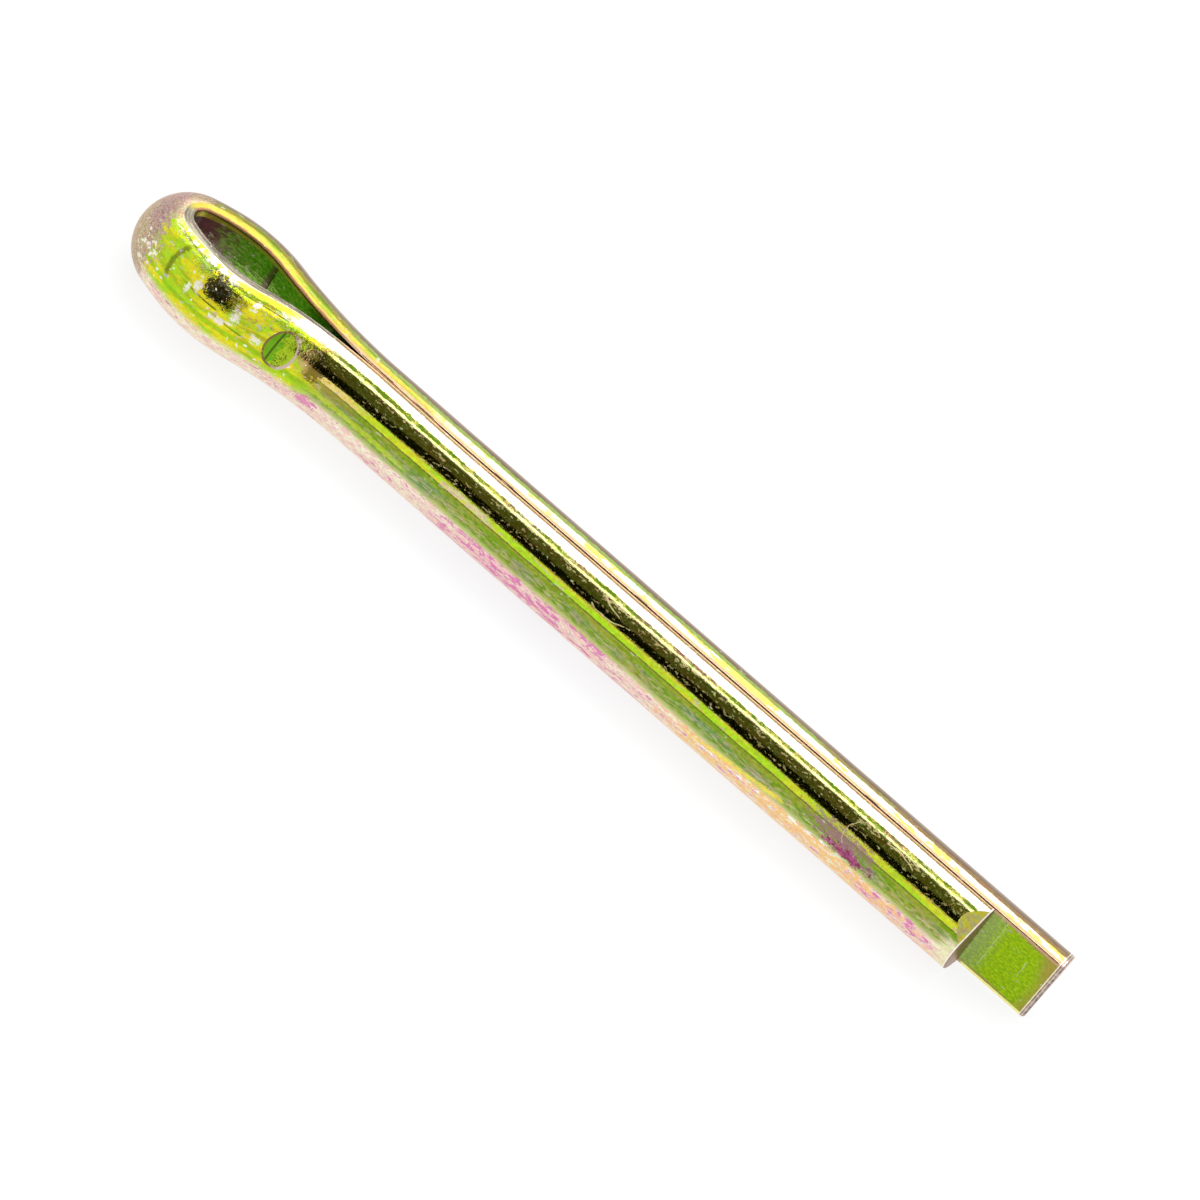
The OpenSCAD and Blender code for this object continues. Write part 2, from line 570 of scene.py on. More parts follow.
# %% [markdown]
# ## Gold line and white flakes
#
# Towards the tip a gold line slants across the border of the two, where two of the film's colours
# meet, and a row of white flakes lies just below it. A slanted line is a strip whose middle moves
# with x.

# %% Gold line and white flakes
gold_line = between(ragged_turn - x * 3.1 + 29.8, -4, 3, 1.5) * between(x, 8, 13.5, 0.8)
colour = mix(gold_line * rise(blotch + (dust - 0.5) * 0.4, 0.38, 0.5) * 0.9, colour,
             (0.86, 0.72, 0.10))
flake_line = between(ragged_turn - x * 1.6 + 22, -3.5, 1, 1) * between(x, 8.5, 17, 1)
colour = mix(flake_line * rise(blotch * 0.6 + dust * 0.4, 0.48, 0.54), colour,
             (0.98, 0.92, 0.84))
count_nodes("gold line")

# %% [markdown]
# ## Lime strip
#
# A thin dark line and a bright lime strip run along the middle of the round. The dark line is
# painted reflection, and the strip is lime film made brighter as painted reflection of a bright
# band just below the black card. The strip is broken by pink and olive patches, and near the eye
# it and the band below it are tanned.

# %% Lime strip
TAN = (0.84, 0.60, 0.22)

colour = mix(rise(ragged_turn, 19, 27), colour,
             mix(rise(streak + (fine - 0.5) * 0.5, 0.4, 0.6), GREEN, OLIVE))
# Painted reflection: a thin dark line that stands in for the mirrored edge of something dark.
colour = mix(between(even_turn, 29.6, 31.0, 0.6) * 0.7, colour, (0.08, 0.10, 0.02))
# Painted reflection, partly: the lime film is made bright to stand in for a bright reflection just
# below the black card.
lime_and_sheen = mix(rise(patch_c, 0.42, 0.62), (0.44, 0.74, 0.02), (0.66, 0.70, 0.03))
lime_and_sheen = mix(rise(patch_a + (blotch - 0.5) * 0.6, 0.56, 0.66) * 0.75, lime_and_sheen, PINK)
lime_and_sheen = mix(rise(blotch * 0.5 + dust * 0.5, 0.5, 0.6) * 0.5, lime_and_sheen, OLIVE)
tanned = 1 - rise(x + (fine - 0.5) * 1.5, -15.4, -13.8)
lime_and_sheen = mix(tanned * rise(fine, 0.35, 0.5), lime_and_sheen, TAN)
colour = mix(between(even_turn, 21, 31, 2) * tanned * 0.7, colour, (0.34, 0.27, 0.06))
colour = mix(between(ragged_turn, 11, 18, 1.5) * between(x, -18.2, -11, 1) * 0.7, colour,
             (0.50, 0.62, 0.04))
colour = mix(rise(even_turn, 30.6, 31.8), colour, lime_and_sheen)
count_nodes("lime strip")

# %% [markdown]
# ## Top of the round
#
# The wide strip above is a plain olive, and looks nearly black where it mirrors something dark.
# A yellow line, a speckled line and a pale top follow in quick order where the round turns over.
# The yellow line and the pale top are partly painted highlight: their colour is made pale where
# the edge box and the top box are mirrored, so that those reflections show white.

# %% Top of the round
SPECKLE_GREEN = (0.15, 0.25, 0.015)
SPECKLE_BROWN = (0.34, 0.17, 0.13)

olive = mix(rise(patch_c, 0.4, 0.6), (0.36, 0.40, 0.02), (0.46, 0.40, 0.03))
olive = mix(rise(dust * 0.5 + fine * 0.5, 0.52, 0.6) * 0.5, olive, (0.85, 0.86, 0.30))
colour = mix(rise(even_turn, 38.6, 39.8), colour, olive)
# Painted highlight, partly: a pale yellow line where the edge box is mirrored.
colour = mix(rise(even_turn, 61.8, 62.8), colour, (0.88, 0.86, 0.34))
speckled = mix(rise(patch_a + (blotch - 0.5) * 0.5, 0.5, 0.62), SPECKLE_GREEN, SPECKLE_BROWN)
speckled = mix(rise(blotch + (dust - 0.5) * 0.6, 0.5, 0.6), speckled, (0.62, 0.62, 0.12))
colour = mix(rise(ragged_turn, 65.6, 67.0), colour, speckled)
# Painted highlight, partly: the top is pale where the top box is mirrored, so that its reflection
# shows white.
colour = mix(rise(turn + (patch_c - 0.5) * 6 + (fine - 0.5) * 7, 71.2, 72.6), colour, PALE_FILM_AND_HIGHLIGHT)
count_nodes("top")

# %% [markdown]
# ## The long leg's round
#
# Only a sliver of the long leg's round shows above the short leg. It has a brown rim, a green line
# that turns brown towards the tip, and a bright strip with gold patches. The strip is partly
# painted highlight: it is pale where the back box is mirrored, so that this reflection shows
# white.

# %% The long leg's round
sliver = mix(rise(patch_c, 0.4, 0.6), (0.17, 0.10, 0.05), (0.20, 0.14, 0.09))
sliver = mix(rise(ragged_turn, 63, 68), sliver,
             mix(rise(x + (patch_b - 0.5) * 20, 8, 20), (0.40, 0.56, 0.12), (0.40, 0.24, 0.10)))
gold_patches = patch_b + (blotch - 0.5) * 0.6 + between(x, 6, 10.5, 1.5) * 0.16
# Painted highlight, partly: the bright strip is pale where the back box is mirrored, so that its
# reflection shows white.
sliver = mix(rise(ragged_turn, 71, 76), sliver,
             mix(rise(gold_patches, 0.52, 0.62), PALE_FILM_AND_HIGHLIGHT, (0.74, 0.58, 0.09)))
colour = mix(long_side * rise(ragged_turn + (patch_c - 0.5) * 10, 36, 43), colour, sliver)
count_nodes("long leg")

# %% [markdown]
# ## The eye's round
#
# The eye was worked hardest, and its film is yellower. Where it faces up it is darker on the short
# leg's side, and worn down to pale zinc on the crown. In front of it and where the leg begins it
# is painted pale in two strips, as painted highlight where the top box is mirrored. On the long
# leg's side it is gilt, and browner towards the sharp corner.

# %% The eye's round
MOSS = (0.34, 0.36, 0.015)

head = mix(rise(patch_b + (blotch - 0.5) * 0.45, 0.42, 0.58), (0.74, 0.68, 0.02),
           (0.42, 0.64, 0.02))
head = mix(rise(patch_c + (fine - 0.5) * 0.3, 0.52, 0.64) * 0.7, head, MOSS)
colour = mix(eye * rise(ragged_turn, -12, 4) * short_side, colour, head)
# Pale zinc worn through on the crown, and painted highlight in the two strips where the top box is
# mirrored.
pale_wear_and_highlight = (between(x, -24.8, -22.9, 0.4) * rise(crumb * 0.5 + blotch * 0.5, 0.44, 0.52)
        + (1 - rise(x, -25.4, -25)) * rise(crumb, 0.5, 0.56) * 0.7
        + rise(x - (turn - 70) * 0.09 + (blotch - 0.5) * 2.5, -20.6, -19.8))
upper = mix(rise(blotch + (fine - 0.5) * 0.5, 0.42, 0.56), (0.40, 0.41, 0.03),
            (0.27, 0.36, 0.02))
upper = mix(pale_wear_and_highlight, upper, PALE_FILM_AND_HIGHLIGHT)
colour = mix(eye * rise(ragged_turn, 66, 70) * short_side, colour, upper)
gilt = mix(rise(patch_b + (blotch - 0.5) * 0.8 + (dust - 0.5) * 0.5, 0.44, 0.6),
           (0.42, 0.37, 0.04), (0.24, 0.33, 0.02))
near_corner = 1 - rise(off_corner + (blotch - 0.5) * 0.2, 0.26, 0.4)
gilt = mix(near_corner * 0.5, gilt, (0.34, 0.16, 0.05))
gilt_leg = 1 - rise(x + (blotch - 0.5) * 5 + (dust - 0.5) * 5, -12.5, -8.5)
gilt_leg = gilt_leg * rise(ragged_turn, 71, 75)
gilt_at = (eye * rise(ragged_turn, 62, 68)).math("MAXIMUM", gilt_leg) * long_side
colour = mix(gilt_at, colour, gilt)
count_nodes("eye")

# %% [markdown]
# ## Stains on the eye
#
# Around the marks of the tool the film is stained: brown beside the press mark, and green in a
# strip along the bottom of the eye. The brown stain's far half is painted nearly black, and a dark
# olive patch beside the dark patch on the eye is painted too, both as painted reflection of the
# dark cards. A stain is a spot with ragged edges.

# %% Stains on the eye
# A brown stain whose far half is painted nearly black, as painted reflection where the black card
# is mirrored.
brown_stain_and_reflection = mix(rise(x + (fine - 0.5) * 0.6, -18.0, -17.5), (0.66, 0.42, 0.17), (0.14, 0.08, 0.02))
colour = mix(spot(-17.6, 45, 0.8, 20, 2.0) * 0.85, colour, brown_stain_and_reflection)
# Painted reflection: a dark olive patch beside the dark patch on the eye.
colour = mix(spot(-22.25, 52, 0.45, 13, 2.0) * 0.7, colour, (0.26, 0.21, 0.02))
colour = mix(spot(-24.6, 64, 0.5, 8, 2.5) * 0.8, colour, (0.20, 0.34, 0.05))
green_strip = between(turn + (patch_b - 0.5) * 6, 10, 17, 2)
colour = mix(eye * green_strip * 0.7 * short_side, colour, (0.24, 0.50, 0.01))
count_nodes("stains")

# %% [markdown]
# ## The worn crown
#
# The crown rubbed against everything else in the box. Its film is worn through to a mix of brown,
# pink and olive, crossed by fine scratches. The wear follows the crown's place in space and not
# the wire, so its noise is laid over the object's own coordinates.

# %% The worn crown
worn_film = mix(rise(crumb, 0.44, 0.56), (0.50, 0.38, 0.22), (0.50, 0.34, 0.28))
pink_front = rise(turn + (crumb - 0.5) * 60, 26, 46) * (1 - rise(x, -28.0, -27.4))
worn_film = mix(pink_front * 0.8, worn_film, (0.46, 0.24, 0.31))
worn_film = mix(rise(dust * 0.6 + crumb * 0.4, 0.52, 0.6) * 0.6, worn_film, (0.42, 0.46, 0.12))
scratch = grain(here, 1.0, 11.0, 4.0, 19.0)
worn_film = mix(rise(scratch, 0.52, 0.62) * 0.55, worn_film, (0.66, 0.58, 0.42))
worn_film = mix((1 - rise(scratch, 0.36, 0.45)) * 0.6, worn_film, (0.24, 0.13, 0.10))
worn_film = mix(rise(dust, 0.62, 0.66) * rise(crumb, 0.4, 0.6) * 0.5, worn_film,
                (0.20, 0.10, 0.04))
wear_ends = -27.1 - between(turn, 45, 70, 8) * 0.3 + long_side * rise(turn, 50, 60) * 0.5
colour = mix(1 - rise(x + (crumb - 0.5) * 3 - wear_ends, -0.3, 0.3), colour, worn_film)
count_nodes("crown")

# %% [markdown]
# ## Lines of the forming tool
#
# The tool that bent the eye left one bowed line near the crown and three short straight ones. They
# are dark, and the relief further down sinks them a little.

# %% Lines of the forming tool
bow = (turn - 40) / 25
bowed_line = between(x + 26.06 - bow * bow * 0.26 + (fine - 0.5) * 0.2, -0.13, 0.13, 0.07)
bowed_line = bowed_line * between(turn, 20, 64, 5)
tool_lines = (between(turn, 65.4, 67.6, 0.7) * between(x, -22.2, -19.8, 0.2)
              + between(turn, 32.5, 34.3, 0.7) * between(x, -24.9, -22.8, 0.2)
              + between(turn + x * 2.6, -33.6, -31.8, 0.7) * between(x, -22.9, -20.9, 0.2)
              + bowed_line)
colour = mix(tool_lines * short_side * 0.7, colour, (0.10, 0.11, 0.012))
count_nodes("tool lines")

# %% [markdown]
# ## Painted dark reflection and purple stains
#
# A dark patch is painted on the eye, as painted reflection of the dark cards, with grey blotches
# in it. Near the tip of the short leg are stains of deep purple, where the film is at its
# thickest.

# %% Painted dark reflection and purple stains
# Painted reflection: the dark patch on the eye stands in for the mirrored dark cards.
dark_reflection_patch = spot(-23.35, 54, 0.75, 15, 2.0)
colour = mix(dark_reflection_patch * 0.93, colour, mix(rise(crumb, 0.5, 0.62), (0.02, 0.017, 0.01),
                                     (0.13, 0.12, 0.10)))
wide_stain = spot(16.6, 27, 2.0, 12, 3.0) * rise(patch_c + (fine - 0.5), 0.36, 0.52)
colour = mix(wide_stain * 0.8, colour, (0.32, 0.16, 0.20))
colour = mix(spot(17.5, 13, 1.4, 7, 2.4) * 0.9, colour,
             mix(rise(fine, 0.4, 0.6), (0.22, 0.02, 0.10), (0.44, 0.06, 0.24)))
colour = mix(spot(-17.0, -7, 0.5, 8, 3.0) * 0.7, colour, ROSE)
count_nodes("pit and stains")

# %% [markdown]
# ## White flakes on the eye
#
# Bits of the film have flaked off the eye and left white zinc. The larger flakes have their own
# places, and a rare noise adds the small ones, more of them beside the crown.

# %% White flakes on the eye
flakes = (spot(-24.65, 29, 0.16, 9, 3.5) + spot(-24.3, 43, 0.2, 7, 3.5)
          + spot(-21.9, 36, 0.22, 8, 3.5) + spot(-21.45, 62, 0.2, 6, 3.5)
          + spot(-20.5, 27, 0.24, 4, 3.5) + spot(-22.4, 24, 0.25, 3, 3.5))
small_flakes = (grain(here, 1.0, 3.0, 7.0, 97.0)
                + between(x, -28.2, -26.4, 0.4) * between(turn, -8, 32, 8) * 0.085)
flakes = flakes + (rise(small_flakes, 0.65, 0.665) * eye * short_side
                   * between(turn, -15, 62, 10))
colour = mix(flakes * 0.85, colour, (0.95, 0.90, 0.80))
count_nodes("flakes")

# %% [markdown]
# ## The flats
#
# The flats never touched the tool and kept an even green film. It is brown near the sharp corners
# and at the long tip, and pink on the floor of the eye. Inside the crown it is painted
# purple-brown and then nearly black, as painted shade where the flat mirrors the crown's shadowed
# inside, and beside the short leg's tip it is painted grey, as the short leg's painted shadow.

# %% The flats
BROWN = (0.30, 0.18, 0.08)

flat_film = mix(rise(fine, 0.35, 0.7), (0.20, 0.42, 0.003), (0.36, 0.47, 0.004))
flat_film = mix(eye * 0.8, flat_film,
                mix(rise(fine * 0.5 + blotch * 0.5, 0.4, 0.62), (0.10, 0.33, 0.015),
                    (0.30, 0.45, 0.12)))
# Painted shadow: the long leg's flat is greyer beside the short leg's tip.
short_tip_shadow = (1 - rise(x + (fine - 0.5), 24.9, 26.0)) * rise(x, 20, 21)
flat_film = mix(short_tip_shadow * 0.5, flat_film, (0.24, 0.26, 0.15))
flat_film = mix(rise(off_middle + (patch_c - 0.5) * 1.2, 1.95, 2.3) * 0.8, flat_film, BROWN)
tip_film = rise(x + (fine - 0.5) * 1.6 + off_middle * 0.2 + h * 0.1, 28.0, 28.9)
flat_film = mix(tip_film * 0.8, flat_film, (0.36, 0.24, 0.06))
# Painted shade: purple-brown inside the crown, where the flat mirrors the shadowed inside.
flat_film = mix(1 - rise(from_crown + (blotch - 0.5) * 5, 2.6, 4.2), flat_film,
                (0.17, 0.07, 0.08))
pink_zone = (between(x, -26.4, -24.2, 0.4) * (1 - rise(h + (blotch - 0.5) * 2, -0.4, 1.2))
             * rise(crumb, 0.36, 0.56))
flat_film = mix(pink_zone * 0.9, flat_film, (0.52, 0.40, 0.42))
count_nodes("flats")

# %% [markdown]
# ## Marks on the flats
#
# Two fine scratches cross the tip of the long leg, and a crease crosses the flat inside the eye:
# it is not in the mesh, and its dark line and the brownish strip beside it are painted shade.

# %% Marks on the flats
for scratch_x, low, high in ((25.5, -1.6, 2.2), (27.35, -0.4, 0.9)):
    across_flat = between(x + (blotch - 0.5) * 0.3 - scratch_x, -0.02, 0.02, 0.025)
    across_flat = across_flat * between(h, low, high, 0.2)
    flat_film = mix(across_flat * rise(crumb, 0.36, 0.5) * 0.7, flat_film, (0.55, 0.60, 0.36))
# Painted shade: a dark line with a brownish strip beside it, for a crease that is not in the mesh.
crease_shade = (long_side * rise(x + (fine - 0.5) * 0.3, -22.7, -22.3)
          * (1 - rise(x, -22.16, -22.12)))
flat_film = mix(crease_shade * 0.85, flat_film,
                mix(rise(x, -22.28, -22.2), (0.17, 0.08, 0.10), (0.03, 0.015, 0.01)))
# Painted shade: nearly black deep inside the crown.
flat_film = mix(1 - rise(from_crown, 0.8, 2.6), flat_film, (0.03, 0.015, 0.015))
colour = mix(flat, colour, flat_film)
count_nodes("marks on the flats")

# %% [markdown]
# ## Worn corners
#
# The film is rubbed off along the wire's sharp corners: thinly and copper brown on the legs, more
# widely and grey around the eye, and the eye's worn strip has a pale border. Right at the seam
# between the legs the corners are painted pale, as painted light in the groove's shadow. The
# distance from the corner, divided by the strip's width, is 1 at that border.

# %% Worn corners
corner_w = 0.23 + eye * (1 - rise(x, -23.5, -18)) * 0.16 + crown * 0.12
worn = 1 - rise(off_corner / corner_w, 0.9, 1.1)
border = between(off_corner / corner_w, 0.92, 1.08, 0.05)
leg_corner_and_seam_light = mix(rise(patch_c, 0.4, 0.6), (0.50, 0.31, 0.16), (0.45, 0.31, 0.16))
# Painted light: right at the seam the corner is painted pale, to lighten the shadow in the groove
# between the legs.
leg_corner_and_seam_light = mix(rise(off_corner, 0.03, 0.08), (0.82, 0.62, 0.42), leg_corner_and_seam_light)
leg_corner_and_seam_light = mix(rise(x, 24.7, 24.9) * (1 - rise(h, -1, 1)), leg_corner_and_seam_light, (0.92, 0.86, 0.30))
eye_corner = mix(rise(streak, 0.4, 0.6), (0.17, 0.15, 0.11), (0.30, 0.27, 0.21))
eye_corner = mix(long_side, eye_corner,
                 mix(rise(off_corner + (blotch - 0.5) * 0.25, 0.07, 0.2), (0.36, 0.18, 0.09),
                     (0.50, 0.42, 0.06)))
colour = mix(worn, colour, mix(eye, leg_corner_and_seam_light, eye_corner))
colour = mix(border * eye * short_side * (1 - crown) * 0.4, colour, PALE_FILM_AND_HIGHLIGHT)
count_nodes("corners")

# %% [markdown]
# ## Specks and mottle
#
# Dull zinc specks lie all over the pin. The upper strip of the short leg also has a fine mottle of
# dried film, thick at some places along the leg and at its borders, which shows best against the
# dark reflection. Its colour is painted darker where it lies in the black card's reflection than
# above it, as painted shade.

# %% Specks and mottle
ZINC = (0.60, 0.57, 0.50)

specks = rise(grain(where, 1.8, 4.2, 5.0, 31.0) + eye * 0.03, 0.66, 0.72)
thick = 0.0
for low, high in ((0.3, 2.2), (4.7, 6.5), (7.6, 8.8), (10, 11.2), (16.6, 17.8), (20, 21.2),
                  (22.2, 23)):
    thick = between(x, low, high, 0.4) + thick
borders = between(turn, 57, 64, 2.5) + between(turn, 45, 50, 1.5) * 0.7
dried = (grain(where, 2.0, 9.0, 4.0, 83.0) + borders * (thick * 0.1 + 0.05)
         + (patch_c - 0.5) * 0.35)
mottle = rise(dried, 0.615, 0.685) * rise(turn, 36, 44) * short_side
colour = mix(specks * 0.7, colour, ZINC)
# Painted shade, partly: the mottle is darker below about 50 degrees, where the black card is
# mirrored, and lighter above.
colour = mix(mottle * 0.65, colour,
             mix(rise(turn, 50, 56), (0.34, 0.27, 0.18), (0.50, 0.39, 0.24)))
count_nodes("specks")

# %% [markdown]
# ## Lint
#
# A few threads of lint stick to the leg. Each is a thin strip along a curve, which is given by the
# range of x it covers, the turn it starts at, how much it leans and how much it sags. They are too
# fine to be worth a mesh.

# %% Lint
lint = 0.0
for start, end, first, lean_by, sag in ((0.5, 1.75, 62, -8, 3), (0.2, 2.2, 44, 2, 5),
                                        (18.6, 20.4, 60, -3, -4)):
    reach = end - start
    level = first + lean_by * reach / 2 - sag * reach ** 2 / 4
    step = x - (start + end) / 2
    off_thread = turn - step * lean_by - step * step * sag - level
    lint = (between(off_thread + (blotch - 0.5) * 5, -0.8, 0.8, 0.6)
            * between(x, start, end, 0.05) + lint)
bristle = turn - 39
off_bristle = x - 16.65 - bristle * bristle * 0.0009 + (blotch - 0.5) * 0.2
lint = between(off_bristle, -0.025, 0.025, 0.02) * between(turn, 22, 57, 2) + lint
lint = lint * short_side
colour = mix(lint * 0.6, colour, (0.75, 0.62, 0.42))
count_nodes("lint")

# %% [markdown]
# ## The tips
#
# The sheared facet is olive, the two ends are brown, and each rim is rubbed pale. Their places
# come from the planes that cut them, so the same slope and lean are used again.

# %% The tips
y = plate.node("SeparateXYZ", {}, {0: place}, out=1) * (1 / MM)
radius = length(w, h)
round_part = short_side * (1 - flat)
facet = ((1 - rise(radius, 2.27, 2.29)) * rise(x, 23.45, 23.55) * round_part
         * rise(off_corner, 0.3, 0.35))
past_short = (x - short_tip_x / MM) * math.cos(end_slope) - y * math.sin(end_slope)
straw_end = rise(x + (streak - 0.5) * 1.5, 23.4, 24.0) * (1 - rise(turn, 14, 26)) * short_side
colour = mix(straw_end * 0.8, colour, (0.84, 0.80, 0.50))
colour = mix(facet, colour, mix(rise(blotch, 0.42, 0.6), (0.50, 0.46, 0.03),
                                (0.42, 0.37, 0.14)))
short_rim = between(past_short, -0.1, -0.045, 0.015) * round_part
colour = mix(short_rim, colour, (0.95, 0.88, 0.80))
colour = mix(rise(past_short, -0.045, -0.03) * short_side, colour, (0.34, 0.20, 0.17))
long_x = x + (2.3 - h) * math.tan(lean)
colour = mix(rise(long_x, 28.70, 28.73), colour,
             mix(rise(blotch, 0.4, 0.6), (0.22, 0.16, 0.13), (0.46, 0.32, 0.30)))
long_rim = between(long_x, 28.66, 28.71, 0.012) + between(long_x, 28.80, 28.84, 0.01) * 0.6
colour = mix(long_rim, colour, PALE_FILM_AND_HIGHLIGHT)
count_nodes("tips")

# %% [markdown]
# ## Grain of the film
#
# Even where the film is plain it is not one colour. Each of red, green and blue is multiplied by
# a fine noise of its own strength, which gives the faint coloured grain of thin films.

# %% Grain of the film
tint = plate.node("CombineColor", {}, {0: dust * 2, 1: 0.1 + fine * 1.8, 2: 0.1 + dust * 1.8})
colour = plate.node("Mix", {"data_type": "RGBA", "blend_type": "MULTIPLY"},
                    {0: 0.55, 6: colour, 7: tint}, out=2)
count_nodes("grain")

# %% [markdown]
# ## Relief
#
# The surface has drawing lines along the wire, a soft peel and fine pits, all a few thousandths of
# a millimetre high. That is too fine for the mesh, so one Bump node makes it. The same node sinks
# the tool lines and the round press mark, whose place is worked out first.

# %% Relief
PRESS_X, PRESS_TURN, PRESS_REACH, PRESS_HEIGHT = -19.25, 33, 0.78, 1.02

drawn = grain(where, 30.0, 9.0, 2.0, 5.0)
peel = grain(where, 1.6, 3.0, 2.0, 15.0)
pits = grain(where, 1.0, 10.0, 2.0, 25.0)
press = length((x - PRESS_X) / PRESS_REACH,
               (turn - PRESS_TURN) * (2.3 * math.pi / 180 / PRESS_HEIGHT)) + (fine - 0.5) * 0.08
pressed = (1 - rise(press, 0.9, 1.0)) * short_side
height = ((drawn + peel * 2.4 + pits * (1.5 - flat)) * (eye * 0.5 + flat * 0.3 + 0.4)
          - specks * 0.5 - pressed * 8 - tool_lines * short_side * 2)
bump = plate.node("Bump", {}, {"Strength": 1.0, "Distance": 0.0035 * MM, "Height": height})
count_nodes("relief")

# %% [markdown]
# ## The press mark
#
# The press mark is a shallow round dent left by the end of a pin in the tool. It is dark green on
# one side and lime on the other, split by a dark line, with dark specks in its lower part, and its
# rim goes from brown to pink.

# %% The press mark
press_film = mix(rise(fine * 0.6 + x * 0.5 + 9.6, 0.2, 0.3), (0.16, 0.38, 0.012),
                 (0.38, 0.54, 0.02))
press_film = mix(between(x, -19.62, -19.52, 0.03), press_film, (0.06, 0.12, 0.01))
press_specks = rise(dust, 0.52, 0.56) * between(x, -19.2, -18.75, 0.1) * (1 - rise(turn, 30, 36))
press_film = mix(press_specks, press_film, (0.08, 0.10, 0.02))
colour = mix(pressed, colour, press_film)
rim_film = mix(rise(x + (fine - 0.5) * 0.6, -19.4, -18.8), (0.22, 0.13, 0.05),
               (0.62, 0.45, 0.38))
press_rim = between(press - rise(x, -19.2, -18.8) * 0.06, 0.9 - rise(x, -19.2, -18.8) * 0.06,
                    1.03, 0.03)
colour = mix(press_rim * short_side * rise(fine, 0.3, 0.45), colour, rim_film)
count_nodes("press mark")

# %% [markdown]
# ## Gloss
#
# The film is clear and the zinc under it is bright, so the pin shines nearly like a mirror. Lint,
# specks, flakes, worn places and the sheared end are duller. The base is metal, and a thin coat
# stands for the film's own shine.

# %% Gloss
rough = (0.075 + eye * 0.03 + lint * 0.4 + specks * 0.35 + mottle * 0.28 + flakes * 0.3
         + worn * eye * 0.15 + (1 - rise(x, -27.4, -26.4)) * 0.2 + dark_reflection_patch * 0.08
         + rise(past_short, -0.06, -0.03) * short_side * 0.3 + (fine - 0.5) * 0.08)
shader = plate.node("BsdfPrincipled", {}, {
    "Base Color": colour, "Metallic": 1.0, "Roughness": rough, "Normal": bump,
    "Specular Tint": (1.0, 0.93, 0.86, 1), "Coat Weight": 0.05, "Coat IOR": 1.6,
    "Coat Roughness": 0.08})
plate.node("OutputMaterial", {}, {"Surface": shader})
pin.data.materials.clear()
pin.data.materials.append(plate.material)
count_nodes("finish")

# %% [markdown]
# ## Stage
#
# The pin lies on a plain white floor under a plain white world. The camera and shiny surfaces see
# the floor as evenly white, through Light Path, while its matt part still takes the pin's shadow.

# %% Stage
world = bpy.data.worlds.new("studio")
bpy.context.scene.world = world
world.use_nodes = True
world.node_tree.nodes["Background"].inputs["Color"].default_value = (1, 1, 1, 1)
world.node_tree.nodes["Background"].inputs["Strength"].default_value = 1.0

bpy.ops.mesh.primitive_plane_add(size=4, location=(0, 0, 0))
floor = bpy.context.object
floor.name = "floor"
white = Finish("white_floor")
seen = white.node("LightPath", {}, {}).math("MAXIMUM", white.node("LightPath", {}, {}, out=3))
matt = white.node("BsdfDiffuse", {}, {"Color": (0.9, 0.9, 0.9, 1)})
glow = white.node("Emission", {}, {"Color": (1, 1, 1, 1), "Strength": 1.0})
floor_mix = white.node("MixShader", {}, {0: seen * 0.84, 1: matt, 2: glow})
white.node("OutputMaterial", {}, {"Surface": floor_mix})
floor.data.materials.append(white.material)
print("floor", tuple(floor.dimensions))

# %% [markdown]
# ## Light boxes
#
# A polished round shows its surroundings as stripes along the wire, so each bright stripe on the
# pin needs a long soft box at the right angle above it. A box is given by the arc it spans as seen
# from the pin, and by its radiance: the lamp's power then follows from its size.

# %% Light boxes
centre = Vector((0, 0, axis_z))


def toward(rise_angle, swing):
    """Direction that rises from -Y over +Z to +Y, and swings towards +X, by two angles."""
    lift, swing = math.radians(rise_angle), math.radians(swing)
    return Vector((math.sin(swing), -math.cos(lift) * math.cos(swing),
                   math.sin(lift) * math.cos(swing)))


def facing(direction, distance):
    """Place at a distance in a direction from the pin, turned to face it, its width along X."""
    back = direction.normalized()
    right = (Vector((1, 0, 0)) - back * back.x).normalized()
    turned = Matrix((right, back.cross(right), back)).transposed().to_4x4()
    return Matrix.Translation(centre + back * distance) @ turned


def arc(degrees, distance):
    return 2 * distance * math.tan(math.radians(degrees / 2))


def soft_box(name, low, high, width, radiance, distance=0.9):
    """A rectangle of light that spans an arc from low to high, as seen from the pin."""
    lamp = bpy.data.lights.new(name, "AREA")
    lamp.shape = "RECTANGLE"
    lamp.size, lamp.size_y = arc(width, distance), arc(high - low, distance)
    lamp.energy = radiance * math.pi * lamp.size * lamp.size_y
    box = bpy.data.objects.new(name, lamp)
    box.matrix_world = facing(toward((low + high) / 2, 0), distance)
    bpy.context.collection.objects.link(box)
    print(name, "of %.2f W" % lamp.energy)


soft_box("top_box", 95.5, 116, 80, 2.4)
soft_box("edge_box", 79.5, 86, 80, 1.2)
soft_box("back_box", 131, 163, 80, 1.5)

# %% [markdown]
# ## Dark cards
#
# The dark stripe along the short leg is not on the metal: it is the reflection of something dark
# beside the lights. The dark patch on the eye is that reflection too, with painted dark reflection
# laid over it on the metal. Two cards stand there, which only mirror-like surfaces can see.
# Painting the stripe on the pin would leave it in place when the view changes.

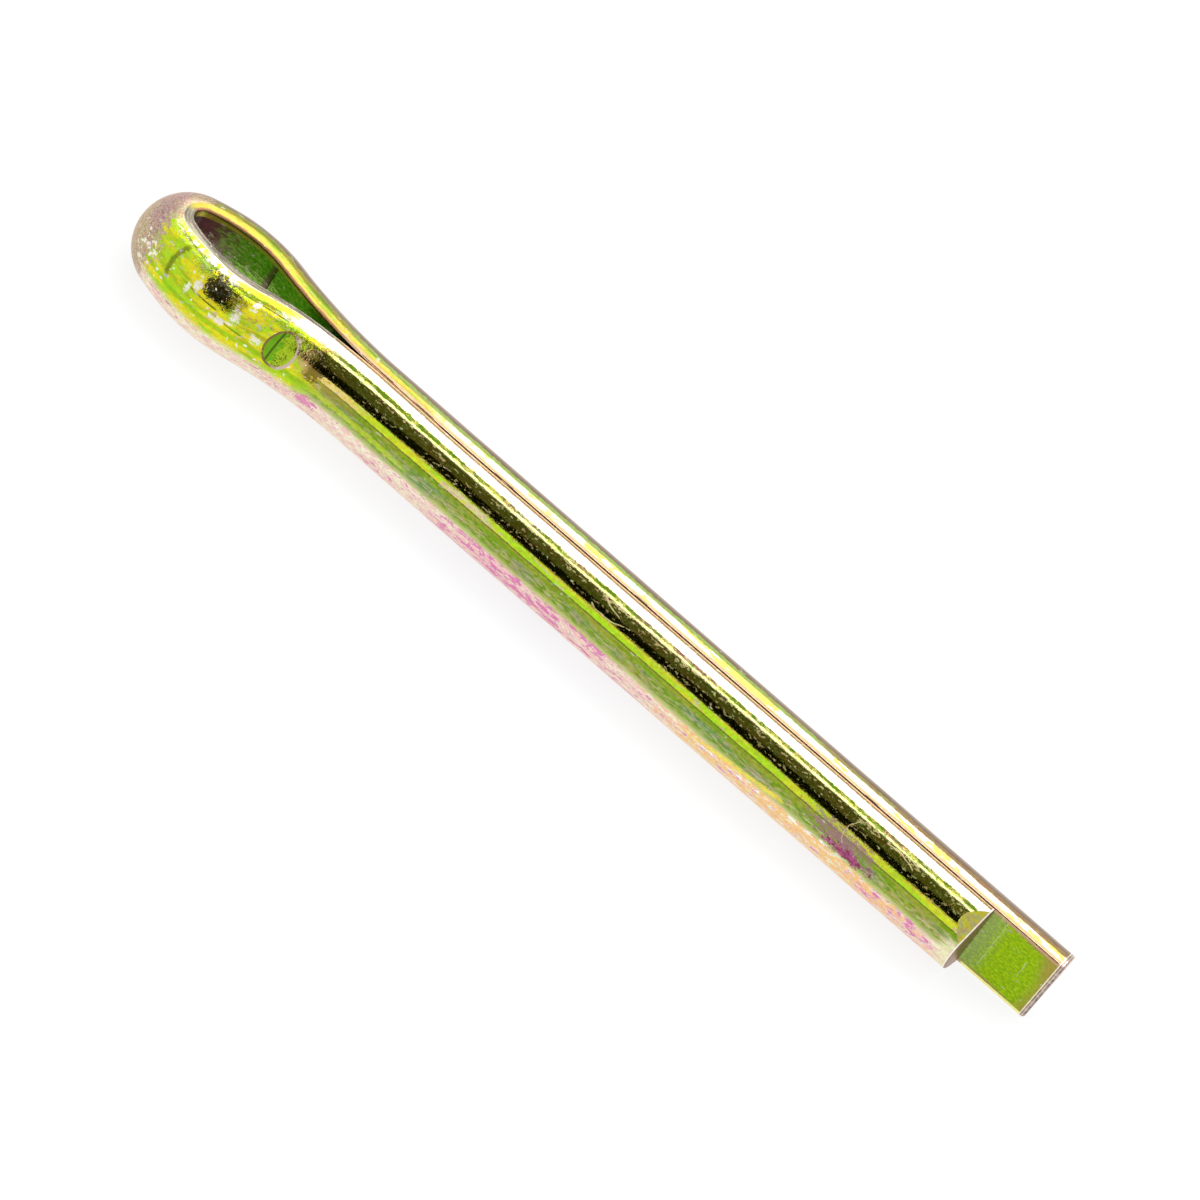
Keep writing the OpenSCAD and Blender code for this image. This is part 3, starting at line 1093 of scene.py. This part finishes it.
# %% Dark cards
def dark_card(name, low, high, swing, width, grey, distance=0.8):
    """A dark rectangle that spans an arc from low to high, seen in reflections only."""
    bpy.ops.mesh.primitive_plane_add(size=1)
    card = bpy.context.object
    card.name = name
    size = Matrix.Diagonal((arc(width, distance), arc(high - low, distance), 1, 1))
    card.matrix_world = facing(toward((low + high) / 2, swing), distance) @ size
    paint = Finish(name)
    surface = paint.node("BsdfPrincipled", {}, {
        "Base Color": (grey, grey, grey, 1), "Roughness": 1.0, "Specular IOR Level": 0.0})
    paint.node("OutputMaterial", {}, {"Surface": surface})
    card.data.materials.append(paint.material)
    card.visible_camera = card.visible_diffuse = card.visible_shadow = False
    print(name, "from %.1f to %.1f degrees" % (swing - width / 2, swing + width / 2))


dark_card("black_card", 31.5, 51, -5.4, 16, 0.005)
dark_card("grey_card", 51, 78, -6.2, 13, 0.10)

# %% [markdown]
# ## Camera
#
# The camera looks down at the pin from the short leg's side, with the pin's length running
# downwards to the right. A long lens far away keeps the legs nearly parallel. Its axes are worked
# out from three angles: how far it is raised around the pin, how far it is tilted along it, and
# how steeply the pin slopes in the view.

# %% Camera
roll, tilt, slope_in_view = math.radians(47), math.radians(6), math.radians(41)
field = 58.1 * MM
back = Vector((math.sin(tilt), -math.cos(tilt) * math.cos(roll), math.cos(tilt) * math.sin(roll)))
across = Vector((0, math.sin(roll), math.cos(roll)))
along = across.cross(back).normalized()
right = along * math.cos(slope_in_view) + across * math.sin(slope_in_view)
up = across * math.cos(slope_in_view) - along * math.sin(slope_in_view)
camera_data = bpy.data.cameras.new("camera")
camera_data.lens = 300
camera_data.sensor_width = 36
camera_data.clip_start = 0.01
camera = bpy.data.objects.new("camera", camera_data)
distance = field / camera_data.sensor_width * camera_data.lens
aim = centre + along * 0.2 * MM + across * 0.21 * MM
turned = Matrix((right, up, back)).transposed().to_4x4()
camera.matrix_world = Matrix.Translation(aim + back * distance) @ turned
bpy.context.collection.objects.link(camera)
bpy.context.scene.camera = camera
bpy.context.scene.view_settings.view_transform = "Standard"
print("camera %.0f mm away" % (distance / MM))
